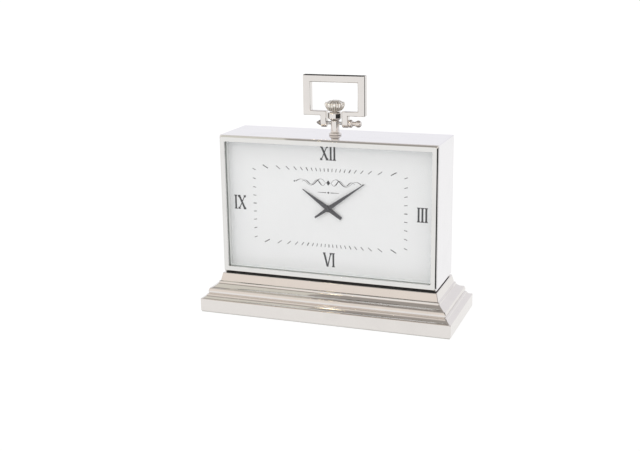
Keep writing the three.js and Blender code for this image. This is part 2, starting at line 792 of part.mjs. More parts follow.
function movementCover() {
  const plate = box(-half, half, coverLow, coverLow + MOVEMENT.wall, MOVEMENT.trayWall, half);
  const bores = [...pivotSpots, centreAt].map(([x, z]) => {
    const radius = x === settingAt[0] ? 1.4 : PIVOT.bore;
    return cylinderY(radius, coverLow - 1, coverLow + 3, x, z, 8);
  });
  return cut(plate, ...bores);
}

function threadedBush() {
  const front = boardFront + 0.2 - MOVEMENT.front;
  const profile = [
    [3, front],
    [4, front],
    [4, 1.8],
    [5.4, 1.8],
    [5.4, 2.8],
    [3, 2.8],
    [3, front],
  ];
  return turned(profile, 16).rotateX(-Math.PI / 2);
}

function bushNut() {
  const low = boardFront + GAP - MOVEMENT.front;
  const shape = outline(hexagon(11, 0, 0));
  return cut(prismY(shape, low, low + 1.9), cylinderY(4.15, low - 1, low + 3, 0, 0, 20));
}

const coilMidZ = -6;
const coilMidY = 9.4;

function coil() {
  const start = 12.5;
  const end = 24.5;
  const profile = [
    [1.5, start],
    [3.1, start],
    [3.1, start + 0.8],
    [2.7, start + 0.8],
    [2.7, end - 0.8],
    [3.1, end - 0.8],
    [3.1, end],
    [1.5, end],
    [1.5, start],
  ];
  return turnedX(profile, 16).translate(0, coilMidY, coilMidZ);
}

function stator() {
  const [x, z] = rotorAt;
  const low = coilMidY - 0.5;
  const high = coilMidY + 0.5;
  const ring = cylinderY(4.7, low, high, x, z, 24);
  const arm = box(x + 1, 26, low, high, coilMidZ - 1, coilMidZ + 1);
  return cut(join(ring, arm), cylinderY(3.5, low - 1, high + 1, x, z, 24));
}

const cellRadius = 7.1;
const cellY = MOVEMENT.wall + GAP + cellRadius;
const cellZ = (trayTop - inner) / 2;

function battery() {
  const profile = [
    [0, -24.9],
    [6.6, -24.9],
    [cellRadius, -24.4],
    [cellRadius, 23.4],
    [6.6, 23.9],
    [2.7, 23.9],
    [2.7, 25.1],
    [0, 25.1],
  ];
  return turnedX(profile).translate(0, cellY, cellZ);
}

// A contact is a plate against the end wall of the cell's bay. The negative one has a raised button.
const CONTACT = { inner: 25.5, outer: 26.1, button: 25.3 };

function contactPlate(x0, x1) {
  return box(x0, x1, cellY - 5, cellY + 6, cellZ - 5, cellZ + 5);
}

function negativeContact() {
  const button = cylinderX(2, -CONTACT.inner - 0.3, -CONTACT.button, cellY, cellZ);
  return join(contactPlate(-CONTACT.outer, -CONTACT.inner), button);
}

place("movement_case", "blackPlastic", movementCase(), movement);
place("movement_cover", "blackPlastic", movementCover(), movement);
place("threaded_bush", "brass", threadedBush(), movement);
place("bush_nut", "brass", bushNut(), movement);
const washerLow = boardFront + 3 - 0.8 - MOVEMENT.front;
place(
  "bush_washer",
  "brass",
  turned(ringProfile(4.3, 6.6, washerLow, washerLow + 0.5), 16).rotateX(-Math.PI / 2),
  movement,
);
const rubberLow = boardBack + GAP - MOVEMENT.front;
place(
  "rubber_washer",
  "rubber",
  turned(ringProfile(4.3, 13, rubberLow, -GAP), 20).rotateX(-Math.PI / 2),
  movement,
);
place("circuit_board", "boardGreen", box(-12, 9, 12.4, 13.4, 14, 25.5), movement);
place("coil", "copper", coil(), movement);
place("stator", "steel", stator(), movement);
place("battery", "batteryBlue", battery(), movement);
place("contact_positive", "brass", contactPlate(CONTACT.inner, CONTACT.outer), movement);
place("contact_negative", "brass", negativeContact(), movement);
place("minute_arbor", "steel", minuteArbor(), movement);
place("hour_wheel", "brass", hourWheel(), movement);
place("centre_wheel", "brass", centreWheel(), movement);
place("setting_knob", "whitePlastic", settingKnob(), movement);
place("rotor", "whitePlastic", rotor(), movement);
place(
  "minute_wheel",
  "whitePlastic",
  join(
    arbor(minuteWheelAt),
    wheelOf(PAIR.cannon, minuteWheelPhase, minuteWheelAt, LAYER.minute),
    pinionOf(PAIR.hour, hourPinionPhase, minuteWheelAt, LAYER.hour),
  ),
  movement,
);
place(
  "third_wheel",
  "whitePlastic",
  join(
    arbor(thirdAt),
    wheelOf(PAIR.third, thirdPhase, thirdAt, LAYER.third),
    pinionOf(PAIR.centre, thirdPinionPhase, thirdAt, LAYER.centre),
  ),
  movement,
);
place(
  "seconds_wheel",
  "whitePlastic",
  join(
    arbor(secondsAt),
    wheelOf(PAIR.seconds, secondsPhase, secondsAt, LAYER.seconds),
    pinionOf(PAIR.third, secondsPinionPhase, secondsAt, LAYER.third),
  ),
  movement,
);
place(
  "intermediate_wheel",
  "whitePlastic",
  join(
    arbor(intermediateAt),
    wheelOf(PAIR.rotor, betweenPhase, intermediateAt, LAYER.rotor),
    pinionOf(PAIR.seconds, betweenPinionPhase, intermediateAt, LAYER.seconds),
  ),
  movement,
);

// ---------------------------------------------------------------- hands

const hands = new THREE.Group();
hands.position.z = dialZ;
clock.add(hands);

// A lance hand that points degrees clockwise from twelve, between y and y + thick.
function lanceHand({ tip, tail, tipHalf, wideHalf, wideAt, tailHalf, hub, bore }, degrees, y) {
  const blade = [
    [-tailHalf, -tail],
    [tailHalf, -tail],
    [wideHalf, wideAt],
    [tipHalf, tip],
    [-tipHalf, tip],
    [-wideHalf, wideAt],
  ];
  const aim = turn(degrees);
  const pointed = blade.map(([across, along]) => [
    across * Math.cos(aim) + along * Math.sin(aim),
    -across * Math.sin(aim) + along * Math.cos(aim),
  ]);
  const solidHand = join(
    prismY(outline(pointed), y, y + HAND.thick),
    cylinderY(hub, y, y + HAND.thick, 0, 0, 24),
  );
  return cut(solidHand, cylinderY(bore, y - 1, y + 2, 0, 0, 20));
}

const hourHand = {
  tip: 35.8,
  tail: 18.5,
  tipHalf: 0.4,
  wideHalf: 2.6,
  wideAt: 2,
  tailHalf: 1.8,
  hub: 3.9,
  bore: TUBE.outer + 0.1,
};
const minuteHand = {
  tip: 52,
  tail: 18.5,
  tipHalf: 0.35,
  wideHalf: 2.2,
  wideAt: 6,
  tailHalf: 1,
  hub: 3,
  bore: SHAFT.radius + 0.1,
};

// A small dome over the end of the minute arbor.
function handCap() {
  const back = 0.35 - HAND.minuteY;
  const profile = [
    [0, back],
    [2.1, back],
    [2.1, back + 0.4],
    [1.5, back + 0.75],
    [0, back + 0.9],
  ];
  return turned(profile, 20).rotateX(Math.PI / 2);
}

place("hour_hand", "handGrey", lanceHand(hourHand, REST_TIME.hourHand, HAND.hourY), hands);
place("minute_hand", "handGrey", lanceHand(minuteHand, REST_TIME.minuteHand, HAND.minuteY), hands);
place("hand_cap", "handGrey", handCap(), hands);

export default clock;
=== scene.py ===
import math

import bmesh
import bpy
from mathutils import Matrix, Vector


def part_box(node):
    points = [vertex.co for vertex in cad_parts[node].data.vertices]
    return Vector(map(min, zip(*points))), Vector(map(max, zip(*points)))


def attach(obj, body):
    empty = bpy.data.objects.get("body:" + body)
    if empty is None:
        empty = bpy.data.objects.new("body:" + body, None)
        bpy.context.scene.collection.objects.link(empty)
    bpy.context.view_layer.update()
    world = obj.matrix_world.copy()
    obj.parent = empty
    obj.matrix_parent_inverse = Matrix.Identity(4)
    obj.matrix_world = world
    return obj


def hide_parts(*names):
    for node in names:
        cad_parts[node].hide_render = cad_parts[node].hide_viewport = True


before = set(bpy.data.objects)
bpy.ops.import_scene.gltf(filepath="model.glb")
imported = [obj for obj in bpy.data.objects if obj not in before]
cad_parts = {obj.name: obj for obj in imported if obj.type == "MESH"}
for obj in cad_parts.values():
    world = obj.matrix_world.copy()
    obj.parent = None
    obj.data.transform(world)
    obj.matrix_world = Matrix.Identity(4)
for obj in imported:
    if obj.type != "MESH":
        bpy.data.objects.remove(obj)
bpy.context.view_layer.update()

# A nickel mantel clock. Lengths in this script are millimetres, and MM turns them into the frame's
# metres where a mesh, a lamp or the camera is made. The dial faces -Y.
MM = 0.001

BODY = "clock_body"


def limits(node):
    """A CAD node's lowest and highest corners, in millimetres."""
    low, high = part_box(node)
    return low / MM, high / MM


def middle(node):
    """The middle of a CAD node's box, in millimetres."""
    low, high = limits(node)
    return (low + high) / 2


CASE_LOW, CASE_HIGH = limits("case_shell")
CASE_MID_Z = middle("case_shell").z
CASE_TOP = CASE_HIGH.z
BEZEL_LOW, BEZEL_HIGH = limits("front_bezel")
PLINTH_LOW, PLINTH_HIGH = limits("plinth_shell")
PLATE_FRONT = limits("dial_plate")[0].y
GLASS_BACK = limits("glass_pane")[1].y
DIAL_Z = middle("hand_cap").z
PIN_LOW, PIN_HIGH = limits("pivot_pin")
PIN_Z = middle("pivot_pin").z

# ------------------------------------------------------------------ camera

# Turns in degrees. The camera stands at a distance from AIM, and slides right and up without turning.
CAMERA = {"yaw": 20.25, "pitch": 14.76, "roll": -0.80, "distance": 1139, "right": -17.7, "up": -29.8}
LENS = 57.26
SENSOR_WIDTH = 36
AIM = Vector((0, 0, 130))


def add_camera():
    yaw, pitch, roll = (math.radians(CAMERA[name]) for name in ("yaw", "pitch", "roll"))
    level = Vector((math.cos(yaw), math.sin(yaw), 0))
    forward = Vector(
        (-math.sin(yaw) * math.cos(pitch), math.cos(yaw) * math.cos(pitch), -math.sin(pitch))
    )
    above = level.cross(forward)
    right = level * math.cos(roll) + above * math.sin(roll)
    up = above * math.cos(roll) - level * math.sin(roll)
    place = AIM - forward * CAMERA["distance"] + right * CAMERA["right"] + up * CAMERA["up"]
    data = bpy.data.cameras.new("camera")
    data.sensor_width = SENSOR_WIDTH
    data.lens = LENS
    camera = bpy.data.objects.new("camera", data)
    bpy.context.scene.collection.objects.link(camera)
    turn = Matrix((right, up, -forward)).transposed().to_4x4()
    camera.matrix_world = Matrix.Translation(place * MM) @ turn
    bpy.context.scene.camera = camera


add_camera()

# ------------------------------------------------------------------ materials

KNOB_FLUTES = 24
# Most of a noise texture's values lie between these.
NOISE_LOW = 0.3
NOISE_HIGH = 0.7


class Finish:
    """A procedural material. Its patterns sit in the object's own coordinates, in metres."""

    def __init__(self, name, slot, colour, roughness, metallic=0.0):
        self.slot = slot
        self.material = bpy.data.materials.new(name)
        self.material.use_nodes = True
        self.tree = self.material.node_tree
        self.shader = self.tree.nodes["Principled BSDF"]
        self.place = self.add("ShaderNodeTexCoord").outputs["Object"]
        self.give("Base Color", (*colour, 1))
        self.give("Roughness", roughness)
        self.give("Metallic", metallic)

    def add(self, kind, **settings):
        node = self.tree.nodes.new(kind)
        for name, value in settings.items():
            setattr(node, name, value)
        return node

    def put(self, socket, value):
        """Sets a socket to a number or colour, or links an output to it."""
        if isinstance(value, bpy.types.NodeSocket):
            self.tree.links.new(value, socket)
        else:
            socket.default_value = value

    def give(self, name, value):
        """Sets or links one of the shader's own sockets."""
        self.put(self.shader.inputs[name], value)

    def colour_so_far(self):
        return self.shader.inputs["Base Color"].links[0].from_socket

    def stretched(self, stretch):
        """Coordinates scaled by stretch: along an axis below 1, a pattern's features are longer."""
        mapping = self.add("ShaderNodeMapping")
        self.put(mapping.inputs["Vector"], self.place)
        self.put(mapping.inputs["Scale"], stretch)
        return mapping.outputs["Vector"]

    def noise(self, size, detail=3, stretch=None):
        """Noise from 0 to 1 whose features are about size millimetres across."""
        node = self.add("ShaderNodeTexNoise")
        self.put(node.inputs["Vector"], self.stretched(stretch) if stretch else self.place)
        self.put(node.inputs["Scale"], 1 / (size * MM))
        self.put(node.inputs["Detail"], detail)
        return node.outputs["Fac"]

    def spots(self, size):
        """Distance to the nearest of scattered points, in shares of their spacing."""
        node = self.add("ShaderNodeTexVoronoi")
        self.put(node.inputs["Vector"], self.place)
        self.put(node.inputs["Scale"], 1 / (size * MM))
        return node.outputs["Distance"]

    def bands(self, size, axis, profile="SIN"):
        """Stripes across an axis, one every size millimetres."""
        node = self.add("ShaderNodeTexWave", bands_direction=axis, wave_profile=profile)
        self.put(node.inputs["Vector"], self.place)
        # A wave node's scale of 1 is a period of pi / 10 metres.
        self.put(node.inputs["Scale"], math.pi / (10 * size * MM))
        return node.outputs["Fac"]

    def coordinate(self, axis):
        """The object's own X, Y or Z, in millimetres."""
        split = self.add("ShaderNodeSeparateXYZ")
        self.put(split.inputs[0], self.place)
        return self.maths("MULTIPLY", split.outputs[axis], 1 / MM)

    def span(self, value, low, high, out_low=0.0, out_high=1.0):
        """value mapped from low..high to out_low..out_high, and held at the ends."""
        node = self.add("ShaderNodeMapRange")
        for index, number in enumerate((value, low, high, out_low, out_high)):
            self.put(node.inputs[index], number)
        return node.outputs["Result"]

    def maths(self, operation, *values):
        node = self.add("ShaderNodeMath", operation=operation)
        for index, value in enumerate(values):
            self.put(node.inputs[index], value)
        return node.outputs[0]

    def tint(self, share, first, second):
        """The first colour where share is 0, and the second where it is 1."""
        node = self.add("ShaderNodeMix", data_type="RGBA")
        self.put(node.inputs["Factor"], share)
        for name, colour in (("A", first), ("B", second)):
            linked = isinstance(colour, bpy.types.NodeSocket)
            self.put(node.inputs[name], colour if linked else (*colour, 1))
        return node.outputs["Result"]

    def rub(self, size, low, high):
        """Roughness that drifts from low to high over patches of about size millimetres."""
        self.give("Roughness", self.span(self.noise(size), NOISE_LOW, NOISE_HIGH, low, high))

    def relief(self, *layers):
        """Bumps from (height from 0 to 1, depth in millimetres) layers."""
        normal = None
        for height, depth in layers:
            node = self.add("ShaderNodeBump")
            self.put(node.inputs["Strength"], 1.0)
            self.put(node.inputs["Distance"], depth * MM)
            self.put(node.inputs["Height"], height)
            if normal:
                self.put(node.inputs["Normal"], normal)
            normal = node.outputs["Normal"]
        self.give("Normal", normal)


NICKEL = (0.735, 0.705, 0.68)
CASE_NICKEL = (0.79, 0.78, 0.79)
BEZEL_NICKEL = (0.735, 0.73, 0.715)
# Painted shade: a dark copy of the nickel, for the pin cap that sits in shade.
SHADED_NICKEL = (0.3, 0.28, 0.265)


def nickel(name, bright=NICKEL, wave=0.10, streak=(1, 1, 1), pits=0.02):
    """Mirror-polished plate: faint haze, wipe marks, the waviness of hand polishing and a few pits."""
    finish = Finish(name, "nickel", bright, 0.07, 1.0)
    haze = finish.span(finish.noise(40, 4), 0.5, 0.85)
    finish.give("Base Color", finish.tint(haze, bright, [0.94 * part for part in bright]))
    wipes = finish.noise(9, 5, streak)
    finish.give("Roughness", finish.span(wipes, 0.3, 0.75, 0.03, 0.09))
    hairs = finish.noise(0.35, 2, streak)
    pitted = finish.span(finish.spots(7), 0.0, 0.09)
    finish.relief((finish.noise(34, 1, streak), wave), (hairs, 0.0012), (pitted, pits))
    return finish


def knob_nickel():
    """Nickel with brown polish left in the grooves round the post's axis."""
    finish = nickel("nickel_knob", (0.92, 0.9, 0.86), wave=0.03)
    turn = finish.maths("ARCTAN2", finish.coordinate("X"), finish.coordinate("Y"))
    wave = finish.maths("COSINE", finish.maths("MULTIPLY", turn, KNOB_FLUTES))
    blotches = finish.span(finish.noise(2.2, 2), NOISE_LOW, NOISE_HIGH, -0.7, 0.7)
    groove = finish.span(finish.maths("ADD", wave, blotches), -0.9, 0.4, 0.7, 0.0)
    finish.give("Base Color", finish.tint(groove, finish.colour_so_far(), (0.42, 0.36, 0.28)))
    return finish


def steel():
    finish = Finish("bright_zinc", "steel", (0.62, 0.63, 0.66), 0.28, 1.0)
    bloom = finish.span(finish.noise(3, 4), 0.35, 0.7)
    finish.give("Base Color", finish.tint(bloom, (0.64, 0.65, 0.68), (0.52, 0.54, 0.55)))
    finish.rub(1.2, 0.2, 0.38)
    finish.relief((finish.noise(0.5, 3), 0.006))
    return finish


def brass():
    finish = Finish("machined_brass", "brass", (0.75, 0.58, 0.29), 0.25, 1.0)
    tarnish = finish.span(finish.noise(4, 4), 0.45, 0.75)
    finish.give("Base Color", finish.tint(tarnish, (0.78, 0.6, 0.3), (0.6, 0.43, 0.2)))
    finish.rub(0.8, 0.16, 0.34)
    finish.relief((finish.bands(0.12, "Y"), 0.003))
    return finish


def copper_wire():
    """Enamelled wire wound side by side."""
    finish = Finish("enamelled_wire", "copper_wire", (0.66, 0.3, 0.13), 0.3, 1.0)
    turns = finish.bands(0.22, "X")
    finish.give("Base Color", finish.tint(turns, (0.36, 0.13, 0.05), (0.72, 0.34, 0.15)))
    finish.relief((turns, 0.08))
    return finish


def dial_white(name, colour, shade):
    """Matt white lacquer, a little mottled and with a fine grain."""
    finish = Finish(name, "white_dial", colour, 0.55)
    cloud = finish.span(finish.noise(60, 2), 0.35, 0.7)
    finish.give("Base Color", finish.tint(cloud, colour, shade))
    finish.rub(6, 0.48, 0.62)
    finish.relief((finish.noise(0.6, 3), 0.008))
    return finish


def surround_white_with_painted_shade():
    """The spacer behind the glass, with a grey-green line of painted shade along the corner where it
    meets the pane.
    """
    finish = dial_white("surround_white_with_painted_shade", (0.8, 0.82, 0.81), (0.77, 0.79, 0.78))
    # Painted shade: a dark grey-green line along the front of the wall, where it meets the pane.
    line = finish.span(finish.coordinate("Y"), GLASS_BACK + 0.9, GLASS_BACK + 1.5, 1.0, 0.0)
    finish.give("Base Color", finish.tint(line, finish.colour_so_far(), (0.4, 0.43, 0.41)))
    return finish


def clear_glass():
    """A thin pane: what is behind it shows, with a mirror image over it that grows at flat angles."""
    finish = Finish("clear_glass", "glass", (0.97, 0.975, 0.98), 0.02)
    mirror = finish.add("ShaderNodeBsdfGlossy")
    finish.put(mirror.inputs["Color"], (0.95, 0.97, 0.96, 1))
    finish.put(mirror.inputs["Roughness"], finish.span(finish.noise(30, 3), 0.4, 0.8, 0.01, 0.05))
    through = finish.add("ShaderNodeBsdfTransparent")
    finish.put(through.inputs["Color"], (0.985, 0.985, 0.988, 1))
    gloss = finish.add("ShaderNodeFresnel")
    finish.put(gloss.inputs["IOR"], 1.4)
    inside = finish.add("ShaderNodeNewGeometry").outputs["Backfacing"]
    share = finish.maths("MULTIPLY", gloss.outputs[0], finish.maths("SUBTRACT", 1.0, inside))
    mix = finish.add("ShaderNodeMixShader")
    finish.put(mix.inputs[0], share)
    finish.put(mix.inputs[1], through.outputs[0])
    finish.put(mix.inputs[2], mirror.outputs[0])
    output = finish.tree.nodes["Material Output"]
    finish.put(output.inputs["Surface"], mix.outputs[0])
    finish.tree.nodes.remove(finish.shader)
    return finish


def lacquer(name, slot, colour, rubbed, roughness, peel=0.012):
    """Satin paint with a fine orange peel, rubbed a little lighter here and there."""
    finish = Finish(name, slot, colour, roughness)
    wear = finish.span(finish.noise(14, 5), 0.5, 0.78)
    finish.give("Base Color", finish.tint(wear, colour, rubbed))
    finish.rub(5, roughness - 0.08, roughness + 0.1)
    finish.relief((finish.noise(0.9, 2), peel))
    return finish


def fibreboard():
    """Raw board: short pale and dark fibres pressed flat."""
    finish = Finish("raw_fibreboard", "board", (0.45, 0.32, 0.19), 0.8)
    fibres = finish.noise(1.6, 5, (0.35, 1, 1))
    patches = finish.noise(25, 3)
    wood = finish.tint(finish.span(fibres, 0.35, 0.68), (0.36, 0.25, 0.145), (0.56, 0.42, 0.27))
    shade = finish.span(patches, NOISE_LOW, NOISE_HIGH, 0.0, 0.35)
    finish.give("Base Color", finish.tint(shade, wood, (0.4, 0.285, 0.17)))
    finish.relief((fibres, 0.07))
    return finish


def felt():
    finish = Finish("pale_felt", "felt", (0.52, 0.52, 0.5), 0.95)
    fuzz = finish.noise(0.7, 5)
    pale = finish.span(fuzz, 0.35, 0.65)
    finish.give("Base Color", finish.tint(pale, (0.44, 0.44, 0.425), (0.6, 0.6, 0.575)))
    finish.give("Sheen Weight", 0.4)
    finish.give("Sheen Roughness", 0.6)
    finish.relief((fuzz, 0.25))
    return finish


def plastic(name, slot, colour, shade, roughness, grain):
    """Moulded plastic with a fine spark-eroded grain and slight flow marks."""
    finish = Finish(name, slot, colour, roughness)
    flow = finish.span(finish.noise(11, 3, (1, 1, 0.3)), 0.35, 0.7)
    finish.give("Base Color", finish.tint(flow, colour, shade))
    finish.rub(2.5, roughness - 0.07, roughness + 0.08)
    finish.relief((finish.noise(0.28, 3), grain))
    return finish


def circuit_green():
    """Solder mask over tracks, with bright pads."""
    finish = Finish("solder_mask", "circuit", (0.05, 0.16, 0.07), 0.35)
    tracks = finish.span(finish.bands(1.6, "X", "SAW"), 0.55, 0.62)
    mask = finish.tint(tracks, (0.035, 0.13, 0.055), (0.07, 0.22, 0.09))
    pads = finish.span(finish.spots(2.6), 0.2, 0.16)
    finish.give("Base Color", finish.tint(pads, mask, (0.6, 0.6, 0.58)))
    finish.give("Metallic", finish.span(pads, 0.4, 0.6))
    finish.relief((tracks, 0.04), (pads, 0.1))
    return finish


def cell_wrap():
    """A plain battery sleeve: a dark blue body, a pale band near the button and bare metal ends."""
    cell_low, cell_high = limits("battery")
    band_wide, button_end, flat_end, blur = 16, 1.8, 0.7, 0.2
    finish = Finish("cell_sleeve", "cell_wrap", (0.03, 0.07, 0.2), 0.28)
    along = finish.coordinate("X")
    mottle = finish.span(finish.noise(12), NOISE_LOW, NOISE_HIGH)
    dark = finish.tint(mottle, (0.025, 0.06, 0.17), (0.04, 0.085, 0.23))
    band = finish.span(along, cell_high.x - band_wide - blur, cell_high.x - band_wide)
    sleeve = finish.tint(band, dark, (0.62, 0.5, 0.28))
    right = finish.span(along, cell_high.x - button_end - blur, cell_high.x - button_end)
    left = finish.span(along, cell_low.x + flat_end + blur, cell_low.x + flat_end)
    bare = finish.maths("MAXIMUM", right, left)
    finish.give("Base Color", finish.tint(bare, sleeve, (0.62, 0.62, 0.63)))
    finish.give("Metallic", finish.maths("MAXIMUM", bare, finish.maths("MULTIPLY", band, 0.6)))
    finish.relief((finish.noise(8, 2), 0.05))
    return finish


def rubber():
    finish = Finish("black_rubber", "rubber", (0.02, 0.02, 0.02), 0.85)
    bloom = finish.span(finish.noise(3, 4), 0.45, 0.8)
    finish.give("Base Color", finish.tint(bloom, (0.018, 0.018, 0.019), (0.055, 0.055, 0.056)))
    finish.relief((finish.noise(0.4, 3), 0.02))
    return finish


case_nickel = nickel("nickel_case", CASE_NICKEL, wave=0.02)
bezel_nickel = nickel("nickel_bezel", BEZEL_NICKEL, wave=0.03)
plinth_nickel = nickel("nickel_plinth", wave=0.09, streak=(0.35, 1, 1), pits=0.05)
small_nickel = nickel("nickel_small_parts", wave=0.03, pits=0.03)
# Painted shade: the pin cap's nickel is painted dark.
painted_shade_nickel = nickel("nickel_painted_shade", SHADED_NICKEL, wave=0.03)
fluted_nickel = knob_nickel()
zinc = steel()
yellow_brass = brass()
winding = copper_wire()
dial_face = dial_white("dial_lacquer", (0.77, 0.785, 0.79), (0.755, 0.77, 0.775))
dial_wall = surround_white_with_painted_shade()
glass = clear_glass()
hand_paint = lacquer(
    "hand_lacquer", "hand_grey", (0.055, 0.055, 0.062), (0.075, 0.075, 0.082), 0.42, peel=0.006
)
print_dark = lacquer(
    "dial_print_dark", "hand_grey", (0.04, 0.04, 0.044), (0.06, 0.06, 0.064), 0.6, peel=0.004
)
print_grey = lacquer(
    "dial_print_grey", "hand_grey", (0.09, 0.09, 0.095), (0.12, 0.12, 0.125), 0.6, peel=0.004
)
black_paint = lacquer("black_paint", "black_paint", (0.012, 0.012, 0.013), (0.018, 0.018, 0.019), 0.5)
board = fibreboard()
pale_felt = felt()
black_plastic = plastic(
    "black_plastic", "black_plastic", (0.018, 0.018, 0.019), (0.028, 0.028, 0.03), 0.45, grain=0.02
)
white_plastic = plastic(
    "white_plastic", "white_plastic", (0.78, 0.77, 0.72), (0.7, 0.69, 0.63), 0.42, grain=0.01
)
solder_mask = circuit_green()
cell_sleeve = cell_wrap()
black_rubber = rubber()

# ------------------------------------------------------------------ shape helpers

SHARP = 32  # degrees; a sharper edge is eased or stays a crease
WELD_GAP = 0.001
FLAT = 0.6  # degrees; CAD faces that meet at less than this are one face


def traced(*points, steps=10):
    """Points of an outline: (a, b) is a corner, and (ca, cb, a, b) a curve to (a, b) by way of the
    control point (ca, cb)."""
    made = []
    for point in points:
        if len(point) == 2:
            made.append(point)
            continue
        ca, cb, a, b = point
        a0, b0 = made[-1]
        for step in range(1, steps + 1):
            t = step / steps
            first, second, third = (1 - t) ** 2, 2 * t * (1 - t), t * t
            made.append((first * a0 + second * ca + third * a, first * b0 + second * cb + third * b))
    return made


def arc(mid_a, mid_b, radius, start, end, steps):
    """Points round a circle, angles in degrees anticlockwise from +a."""
    angles = [math.radians(start + (end - start) * k / steps) for k in range(steps + 1)]
    return [(mid_a + radius * math.cos(t), mid_b + radius * math.sin(t)) for t in angles]


def rounded_rectangle(half_a, half_b, corner, steps=6):
    """A rectangle's outline about (0, 0), anticlockwise."""
    a, b = half_a - corner, half_b - corner
    return [
        *arc(a, b, corner, 0, 90, steps),
        *arc(-a, b, corner, 90, 180, steps),
        *arc(-a, -b, corner, 180, 270, steps),
        *arc(a, -b, corner, 270, 360, steps),
    ]


def closed_mesh(name, points, faces):
    """A mesh of points in millimetres, its faces turned to face out."""
    mesh = bpy.data.meshes.new(name)
    mesh.from_pydata([Vector(p) * MM for p in points], [], faces)
    work = bmesh.new()
    work.from_mesh(mesh)
    bmesh.ops.recalc_face_normals(work, faces=work.faces)
    work.to_mesh(mesh)
    work.free()
    return mesh


def side_faces(rings, count, closed=False):
    """Faces between neighbouring rings of count points, and from the last to the first if closed."""
    faces = []
    for row in range(rings if closed else rings - 1):
        low, high = row * count, (row + 1) % rings * count
        for k in range(count):
            after = (k + 1) % count
            faces.append((low + k, low + after, high + after, high + k))
    return faces


def end_faces(rings, count):
    """Caps over the first and the last of some rings."""
    last = (rings - 1) * count
    return [tuple(range(count))[::-1], tuple(range(last, last + count))]


def skinned(name, rings, closed=False):
    """A skin over rings of equal count: its ends are capped, or joined to each other if closed."""
    count = len(rings[0])
    points = [point for ring in rings for point in ring]
    faces = side_faces(len(rings), count, closed)
    if not closed:
        faces += end_faces(len(rings), count)
    return closed_mesh(name, points, faces)


def piece(mesh, finish, body, *stands_for, edge=0.0, smooth=True):
    """An object of the mesh that rides on a body, with its sharp edges rounded by edge millimetres. It
    replaces the CAD nodes that it stands for."""
    made = bpy.data.objects.new(mesh.name, mesh)
    bpy.context.scene.collection.objects.link(made)
    made.data.materials.append(finish.material)
    if smooth:
        mesh.shade_smooth()
    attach(made, body)
    if stands_for:
        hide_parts(*stands_for)
    if edge:
        ease(made, edge)
    return made


def chamfer(made, width, segments=1):
    """Cuts the sharp edges off, in one flat or in a round of several. Only a round may be narrowed."""
    bevel = made.modifiers.new("eased_edges", "BEVEL")
    bevel.width = width * MM
    bevel.segments = segments
    bevel.limit_method = "ANGLE"
    bevel.angle_limit = math.radians(SHARP)
    bevel.use_clamp_overlap = segments > 1


def ease(made, width, segments=3):
    """Rounds the sharp edges."""
    chamfer(made, width, segments)
    true_flats(made)


def true_flats(made):
    """Keeps flat faces flat under smooth shading: the small faces beside them take the curve."""
    weighted = made.modifiers.new("true_flats", "WEIGHTED_NORMAL")
    weighted.weight = 100
    weighted.keep_sharp = True


def kept(node, finish, edge=0.0, segments=2):
    """Keeps a CAD node with a finish. Its flat faces lose their inner edges, and its sharp edges are
    rounded, or cut to one flat, or left sharp if edge is 0."""
    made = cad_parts[node]
    made.data.materials.clear()
    made.data.materials.append(finish.material)
    made.data.shade_smooth()
    weld = made.modifiers.new("joined_corners", "WELD")
    weld.merge_threshold = WELD_GAP * MM
    flat = made.modifiers.new("flat_faces", "DECIMATE")
    flat.decimate_type = "DISSOLVE"
    flat.angle_limit = math.radians(FLAT)
    if edge and segments > 1:
        ease(made, edge, segments)
        return
    if edge:
        chamfer(made, edge)
    split = made.modifiers.new("sharp_edges", "EDGE_SPLIT")
    split.split_angle = math.radians(SHARP)
    true_flats(made)


def swept_frame(name, section, half_a, half_b, corner, place, taper=(1.0, 1.0)):
    """A closed section carried round a rounded rectangle. section holds (inset, depth) points, taper
    scales the inset across and up, corner gives the corner radius at an inset, and place turns
    (a, b, depth) into a point."""
    rings = []
    for inset, depth in section:
        ring = rounded_rectangle(half_a - taper[0] * inset, half_b - taper[1] * inset, corner(inset))
        rings.append([place(a, b, depth) for a, b in ring])
    return skinned(name, rings, closed=True)


def turned(name, profile, place, sides=72):
    """A profile of (radius, height) turned about an axis. place turns (a, b, height) into a point. The
    profile starts and ends on the axis, or is a closed loop clear of it."""
    solid = profile[0][0] == 0
    rows = profile[1:-1] if solid else profile
    angles = [2 * math.pi * k / sides for k in range(sides)]
    rings = [[place(r * math.cos(t), r * math.sin(t), h) for t in angles] for r, h in rows]
    if not solid:
        return skinned(name, rings, closed=True)
    points = [point for ring in rings for point in ring]
    first, last = len(points), len(points) + 1
    points += [place(0, 0, profile[0][1]), place(0, 0, profile[-1][1])]
    faces = side_faces(len(rows), sides)
    end = (len(rows) - 1) * sides
    for k in range(sides):
        after = (k + 1) % sides
        faces.append((first, after, k))
        faces.append((last, end + k, end + after))
    return closed_mesh(name, points, faces)


def prism(name, outline, low, high):
    """A flat outline of (x, z) points with a thickness from y low to y high."""
    return skinned(name, [[(x, low, z) for x, z in outline], [(x, high, z) for x, z in outline]])


def merged(name, meshes):
    """The meshes as one, with what overlaps joined by exact booleans."""
    parts = [bpy.data.objects.new(mesh.name, mesh) for mesh in meshes]
    for part in parts:
        bpy.context.scene.collection.objects.link(part)
    for part in parts[1:]:
        union = parts[0].modifiers.new("union", "BOOLEAN")
        union.operation = "UNION"
        union.solver = "EXACT"
        union.object = part
    graph = bpy.context.evaluated_depsgraph_get()
    mesh = bpy.data.meshes.new_from_object(parts[0].evaluated_get(graph))
    mesh.name = name
    for part in parts:
        bpy.data.objects.remove(part)
    return mesh


# ------------------------------------------------------------------ plinth

FOOT = PLINTH_LOW.z
RIM = PLINTH_HIGH.z
OUTSET = PLINTH_HIGH.x - CASE_HIGH.x
PLINTH_CORNER = 1.6
